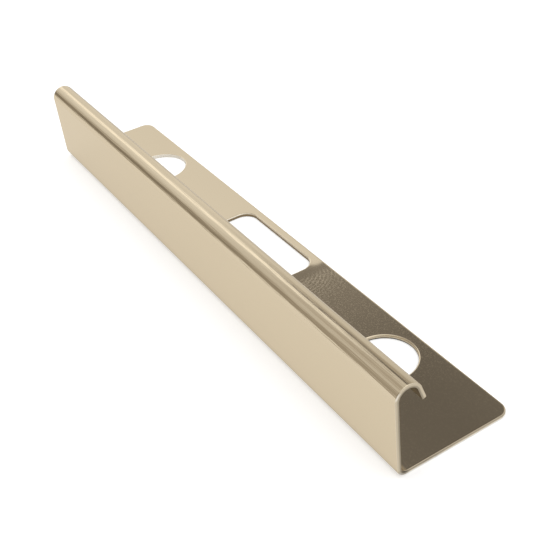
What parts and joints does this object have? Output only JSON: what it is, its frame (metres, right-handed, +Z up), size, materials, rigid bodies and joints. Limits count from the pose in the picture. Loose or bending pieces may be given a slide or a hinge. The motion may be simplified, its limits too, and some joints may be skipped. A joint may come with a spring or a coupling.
{
  "type": "tile edge trim",
  "caption": "Straight piece of metal tile edge trim: punched anchoring flange, upright visible face and a curled lip that laps over the tile edge.",
  "frame": {"origin": "middle of the trim's bounding box at the level of the flange's underside", "axes": "+X along the length of the trim, +Y from the upright face towards the free edge of the punched flange, +Z up from the flange towards the curled lip"},
  "size_m": [0.15, 0.0258, 0.0202],
  "materials": {
    "metal": "satin champagne-toned stainless sheet with a fine rolled grain"
  },
  "bodies": {
    "root": {"edge_trim": "metal"}
  },
  "joints": []
}
